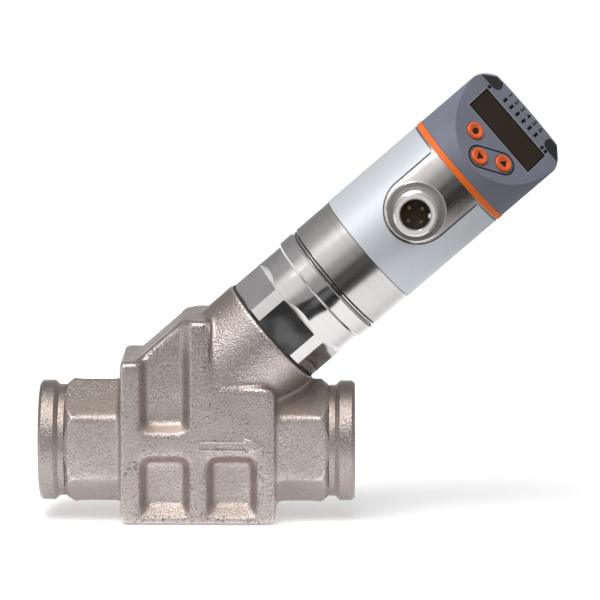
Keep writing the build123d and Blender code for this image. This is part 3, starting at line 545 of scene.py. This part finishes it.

# The label: a silver film stuck round the sleeve, with a deep rounded cut-out below the cover that leaves the plug
# clear.
# A fine dark line is painted along its edges: painted shadow where the film's edge meets the parts beside it.

label_film, film_tree, film_shader = new_finish("silver_label_film", Metallic=0.35, Roughness=0.42)
film_place = film_tree.nodes.new("ShaderNodeTexCoord").outputs["Object"]
head_across = Matrix.Rotation(head_turn, 3, branch_way) @ branch_down
film_along = add_dot(film_tree, film_place, branch_way, branch_foot.dot(branch_way))
film_across = add_dot(film_tree, film_place, head_across, branch_foot.dot(head_across))
label_start, label_end = 0.08168, 0.11368
cutout_middle, cutout_radius = 0.10033, 0.0094
shadow_near, shadow_far = 0.0002, 0.00035
edge_near, edge_far = 0.00015, 0.0003
film_up = add_math(film_tree, "MINIMUM", add_math(film_tree, "SUBTRACT", film_along, cutout_middle), 0.0)
film_reach = add_math(film_tree, "SQRT", add_math(
    film_tree, "ADD", add_math(film_tree, "POWER", film_up, 2.0), add_math(film_tree, "POWER", film_across, 2.0)
))
# Painted shadow: a fine dark line along the film's cut-out on the front, and along its two ends.
film_edge_shadow = add_range(film_tree, film_reach, cutout_radius + shadow_near, cutout_radius + shadow_far, 1.0, 0.0)
film_front = film_tree.nodes.new("ShaderNodeSeparateXYZ")
film_tree.links.new(film_place, film_front.inputs[0])
film_on_front = add_range(film_tree, film_front.outputs["Y"], -0.002, 0.0, 1.0, 0.0)
film_edge_shadow = add_math(film_tree, "MULTIPLY", film_edge_shadow, film_on_front)
film_foot = add_range(film_tree, film_along, label_start + edge_near, label_start + edge_far, 1.0, 0.0)
film_top = add_range(film_tree, film_along, label_end - edge_far, label_end - edge_near, 0.0, 1.0)
film_edge_shadow = add_math(film_tree, "MAXIMUM", film_edge_shadow, add_math(film_tree, "MAXIMUM", film_foot, film_top))
film_grain = add_noise(film_tree, film_place, 2600.0, 2.0, 0.6)
film_tint = add_mix(film_tree, add_range(film_tree, film_grain, 0.3, 0.7), (0.68, 0.725, 0.77), (0.72, 0.76, 0.80))
film_tint = add_mix(film_tree, add_math(film_tree, "MULTIPLY", film_edge_shadow, 0.9), film_tint, (0.035, 0.025, 0.022))
film_tree.links.new(film_tint, film_shader.inputs["Base Color"])
film_tree.links.new(add_bump(film_tree, film_grain, 0.1, 0.000004), film_shader.inputs["Normal"])
give("label_film", label_film)

# Seals, guide rings and plastic carriers: moulded black rubber and moulded black plastic.
# They are pressed or laid into their grooves, and most are hidden once the sensor is shut.


def plain_grain(name, colour, spread, scale, bump, **settings):
    """A moulded or painted finish: a fine cloud in the colour and a fine grain in the skin."""
    finish, tree, shader = new_finish(name, **settings)
    place = tree.nodes.new("ShaderNodeTexCoord").outputs["Object"]
    grain = add_noise(tree, place, scale, 3.0, 0.6)
    cloud = add_noise(tree, place, scale / 18.0, 2.0, 0.5)
    low = tuple(value * (1.0 - spread) for value in colour)
    high = tuple(value * (1.0 + spread) for value in colour)
    tint = add_mix(tree, add_range(tree, cloud, 0.3, 0.7), low, high)
    tree.links.new(tint, shader.inputs["Base Color"])
    tree.links.new(add_bump(tree, grain, 0.35, bump), shader.inputs["Normal"])
    return finish


black_rubber = plain_grain("black_rubber", (0.022, 0.021, 0.02), 0.2, 1800.0, 0.00003, Roughness=0.55)
black_plastic = plain_grain("black_plastic", (0.03, 0.03, 0.032), 0.15, 2400.0, 0.00002, Roughness=0.42)
for black_node in ("seat_seal", "tube_seal", "fitting_seal"):
    give(black_node, black_rubber)
for black_node in (
    "stem_guide", "slide_ring", "display_module", "button_switches", "board_frame", "hall_sensor", "plug_clamp",
    "board_link",
):
    give(black_node, black_plastic)

# The return spring and the circlip: drawn spring wire, one wound as a coil, one bent to a ring.
# The coil stands between the piston and its guide and shortens as the piston rises.

spring_wire = plain_grain("spring_wire", (0.5, 0.49, 0.48), 0.1, 3000.0, 0.000005, Metallic=1.0, Roughness=0.25)
for wire_node in ("return_spring", "circlip"):
    give(wire_node, spring_wire)
spring_mesh = nodes["return_spring"].data.copy()
spring_coil = bpy.data.objects.new("spring_coil", spring_mesh)
bpy.context.scene.collection.objects.link(spring_coil)
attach(spring_coil, "valve")
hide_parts("return_spring")
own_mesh(spring_coil)

# The magnet: a ring of pressed and sintered magnet iron, ground on its faces and dark grey.
# It sits on the piston's stem, under its nut.

magnet_grey = plain_grain("magnet_grey", (0.1, 0.1, 0.11), 0.15, 2000.0, 0.00001, Metallic=0.8, Roughness=0.4)
give("piston_magnet", magnet_grey)

# Circuit boards: glass cloth with copper tracks under a green lacquer, cut from a sheet.
# The long board slides into its frame, and a small one stands behind the plug.

board_green = plain_grain("board_lacquer", (0.02, 0.13, 0.05), 0.25, 1200.0, 0.00001, Roughness=0.3)
for board_node in ("display_board", "main_board", "plug_board"):
    give(board_node, board_green)

# The orange ring between the sleeve and the cover: a moulded band of soft, dense plastic.
# It is clamped between the two and seals them.

ring_orange = plain_grain("ring_orange", (0.95, 0.17, 0.012), 0.06, 1500.0, 0.00002, Roughness=0.42)
give("seal_ring", ring_orange)

# The grey cover: injection-moulded plastic with a fine spark-eroded grain and slightly
# rounded edges. Its spigot is pushed into the steel sleeve.

cover_grey = plain_grain("cover_grey", (0.18, 0.19, 0.242), 0.05, 2300.0, 0.00005, Roughness=0.48)
cover_tree = cover_grey.node_tree
cover_edge = 0.0005
cover_round = cover_tree.nodes.new("ShaderNodeBevel")
cover_round.samples = 4
cover_round.inputs["Radius"].default_value = cover_edge
for cover_link in [link for link in cover_tree.links if link.to_node.type == "BUMP"]:
    cover_tree.links.new(cover_round.outputs["Normal"], cover_link.to_node.inputs["Normal"])
give("head_cover", cover_grey)

# The display window: a strip of dark brown polished acrylic, with the digits unlit behind it.
# A thin moulded rim frames it, and a black border is printed round its edge.

window_brown = plain_grain(
    "window_acrylic", (0.024, 0.012, 0.006), 0.12, 500.0, 0.000002, Roughness=0.14, Specular_IOR_Level=0.3
)
give("display_window", window_brown)
head_place = (
    Matrix.Translation(branch_foot)
    @ Matrix((
        (branch_down.x, 0.0, branch_way.x, 0.0),
        (0.0, 1.0, 0.0, 0.0),
        (branch_down.z, 0.0, branch_way.z, 0.0),
        (0.0, 0.0, 0.0, 1.0),
    ))
    @ Matrix.Rotation(head_turn, 4, "Z")
)
face_slope, face_front, face_height = math.radians(45.0), -0.017, 0.11905
face_place = head_place @ Matrix((
    (1.0, 0.0, 0.0, 0.0),
    (0.0, math.cos(face_slope), -math.sin(face_slope), face_front),
    (0.0, math.sin(face_slope), math.cos(face_slope), face_height),
    (0.0, 0.0, 0.0, 1.0),
))


def face_piece(name, mesh, finish, body):
    """Carries a mesh drawn on the slanted face, in metres, to its place and its body."""
    mesh.transform(face_place)
    mesh.materials.append(finish)
    piece = bpy.data.objects.new(name, mesh)
    bpy.context.scene.collection.objects.link(piece)
    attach(piece, body)
    return piece


window_half, window_low, window_high = 0.01235, 0.0141, 0.0231
rim_outer, rim_inner = 0.00022, -0.00002
mask_outer, mask_inner = -0.00004, -0.00055


def frame_outline(margin):
    left, right = -window_half - margin, window_half + margin
    low, high = window_low - margin, window_high + margin
    return [(left, low), (right, low), (right, high), (left, high)]


edge_grey = plain_grain("window_edge_grey", (0.32, 0.32, 0.35), 0.05, 1500.0, 0.00001, Roughness=0.3)
face_piece(
    "window_edge", band_mesh("window_edge", frame_outline(rim_outer), frame_outline(rim_inner), -0.0001, 0.00006),
    edge_grey, "head",
)

mask_black = plain_grain(
    "window_mask_black", (0.006, 0.005, 0.005), 0.1, 1500.0, 0.000002, Roughness=0.2, Specular_IOR_Level=0.2
)
face_piece(
    "window_mask", band_mesh("window_mask", frame_outline(mask_outer), frame_outline(mask_inner), -0.00005, 0.00002),
    mask_black, "head",
)

# Keys: soft orange caps that stand a little proud, dished on top, each with a dark mark
# moulded into the dish: a dot to enter, and arrow heads to step down and up.

key_rubber = plain_grain("key_rubber", (0.85, 0.125, 0.02), 0.07, 1500.0, 0.00002, Roughness=0.3)
key_print = plain_grain(
    "key_print", (0.022, 0.012, 0.008), 0.2, 1500.0, 0.00001, Roughness=0.5, Specular_IOR_Level=0.2
)
key_profile = [
    (0.0, 0.00022), (0.0006, 0.00022), (0.00115, 0.00026), (0.00145, 0.00042), (0.00172, 0.00056), (0.0020, 0.00060),
    (0.0023, 0.00055), (0.00248, 0.00038), (0.00254, 0.00012), (0.00255, -0.0012),
]
key_places = {
    "button_enter": (-0.0059, 0.0095, "enter_key"),
    "button_down": (0.0, 0.0046, "down_key"),
    "button_up": (0.0059, 0.0095, "up_key"),
}
mark_low, mark_high = 0.00012, 0.0003
dot_across, dot_up, dot_turns = 0.00092, 0.00112, 32
head_half, head_back, head_tip = 0.00115, -0.00075, 0.0013
core_share = 0.02
for key_name, (across, up, key_body) in key_places.items():
    cap = bmesh.new()
    top = cap.verts.new((across, up, key_profile[0][1]))
    turns = 48
    rings = [
        [cap.verts.new((
            across + radius * math.cos(2 * math.pi * turn / turns),
            up + radius * math.sin(2 * math.pi * turn / turns),
            height,
        )) for turn in range(turns)]
        for radius, height in key_profile[1:]
    ]
    for turn in range(turns):
        cap.faces.new((top, rings[0][turn], rings[0][(turn + 1) % turns]))
        for near, far in zip(rings, rings[1:]):
            cap.faces.new((near[turn], far[turn], far[(turn + 1) % turns], near[(turn + 1) % turns]))
    cap.faces.new(list(reversed(rings[-1])))
    for side in cap.faces:
        side.smooth = len(side.verts) < 5
    bmesh.ops.recalc_face_normals(cap, faces=cap.faces)
    cap_mesh = bpy.data.meshes.new(key_name + "_cap")
    cap.to_mesh(cap_mesh)
    cap.free()
    cap_piece = face_piece(key_name + "_cap", cap_mesh, key_rubber, key_body)
    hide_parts(key_name)
    if key_name == "button_enter":
        angles = [2 * math.pi * turn / dot_turns for turn in range(dot_turns)]
        mark = [(dot_across * math.cos(angle), dot_up * math.sin(angle)) for angle in angles]
    else:
        point = 1.0 if key_name == "button_up" else -1.0
        mark = [(-head_half, head_back * point), (head_half, head_back * point), (0.0, head_tip * point)]
    mark = [(x + across, y + up) for x, y in mark]
    centre = (sum(x for x, _ in mark) / len(mark), sum(y for _, y in mark) / len(mark))
    core = [(centre[0] + core_share * (x - centre[0]), centre[1] + core_share * (y - centre[1])) for x, y in mark]
    mark_mesh = band_mesh(key_name + "_mark", mark, core, mark_low, mark_high)
    face_piece(key_name + "_mark", mark_mesh, key_print, key_body)

# The printed line that ties the two stepping keys together: black ink, pad-printed on the
# cover as one closed loop round both keys.


def stadium(start, end, radius, steps=20):
    """Outline of a slot with round ends between two points."""
    along = Vector(end) - Vector(start)
    heading = math.atan2(along.y, along.x)
    points = []
    for centre, turn in ((Vector(end), -0.5), (Vector(start), 0.5)):
        for step in range(steps + 1):
            angle = heading + math.pi * (turn + step / steps)
            points.append((centre.x + radius * math.cos(angle), centre.y + radius * math.sin(angle)))
    return points


face_print = plain_grain(
    "face_print", (0.004, 0.004, 0.005), 0.2, 1500.0, 0.00001, Roughness=0.5, Specular_IOR_Level=0.15
)
loop_outer, loop_inner = 0.00350, 0.00306
ink_low, ink_high = -0.00002, 0.000035
loop_ends = [key_places[key_name][:2] for key_name in ("button_down", "button_up")]
loop_mesh = band_mesh(
    "step_key_line", stadium(*loop_ends, loop_outer), stadium(*loop_ends, loop_inner), ink_low, ink_high
)
face_piece("step_key_line", loop_mesh, face_print, "head")

# Indicator slots: small black light windows in the cover, six for units and three for outputs,
# with small printed numbers over the six.

slot_black = plain_grain(
    "slot_black", (0.004, 0.004, 0.005), 0.2, 1200.0, 0.000004, Roughness=0.2, Specular_IOR_Level=0.15
)
give("led_windows", slot_black)
unit_count, unit_pitch, unit_row = 6, 0.00254, 0.0272
figure_size, figure_swell, figure_ink, figure_lift = 0.0024, 0.00004, 0.00001, 0.00002
for number in range(unit_count):
    figure = bpy.data.curves.new(f"unit_number_{number + 1}", "FONT")
    figure.body = str(number + 1)
    figure.size = figure_size
    figure.offset = figure_swell
    figure.align_x = "CENTER"
    figure.extrude = figure_ink
    figure_object = bpy.data.objects.new(figure.name, figure)
    bpy.context.scene.collection.objects.link(figure_object)
    bpy.context.view_layer.update()
    figure_mesh = bpy.data.meshes.new_from_object(figure_object)
    bpy.data.objects.remove(figure_object)
    figure_mesh.name = figure.name
    unit_across = unit_pitch * (number - (unit_count - 1) / 2)
    figure_mesh.transform(Matrix.Translation((unit_across, unit_row, figure_lift)))
    face_piece(figure_mesh.name, figure_mesh, face_print, "head")

# Status lenses: dark clear plastic in both top corners, moulded with a pattern that spreads
# the light, and pressed into the cover from inside.

lens_dark = plain_grain("status_lens", (0.015, 0.016, 0.018), 0.3, 950.0, 0.0003, Roughness=0.25)
for lens_node in ("status_lens_left", "status_lens_right"):
    give(lens_node, lens_dark)

# The plug's inside: a dark brown moulded insulator, pressed into the round plug, with four
# turned and gilded pins.

insulator = plain_grain("insulator_brown", (0.06, 0.042, 0.028), 0.15, 1500.0, 0.00002, Roughness=0.45)
give("contact_carrier", insulator)
gilding = plain_grain("gilding", (0.86, 0.66, 0.34), 0.08, 2000.0, 0.000003, Metallic=1.0, Roughness=0.18)
give("contact_pins", gilding)
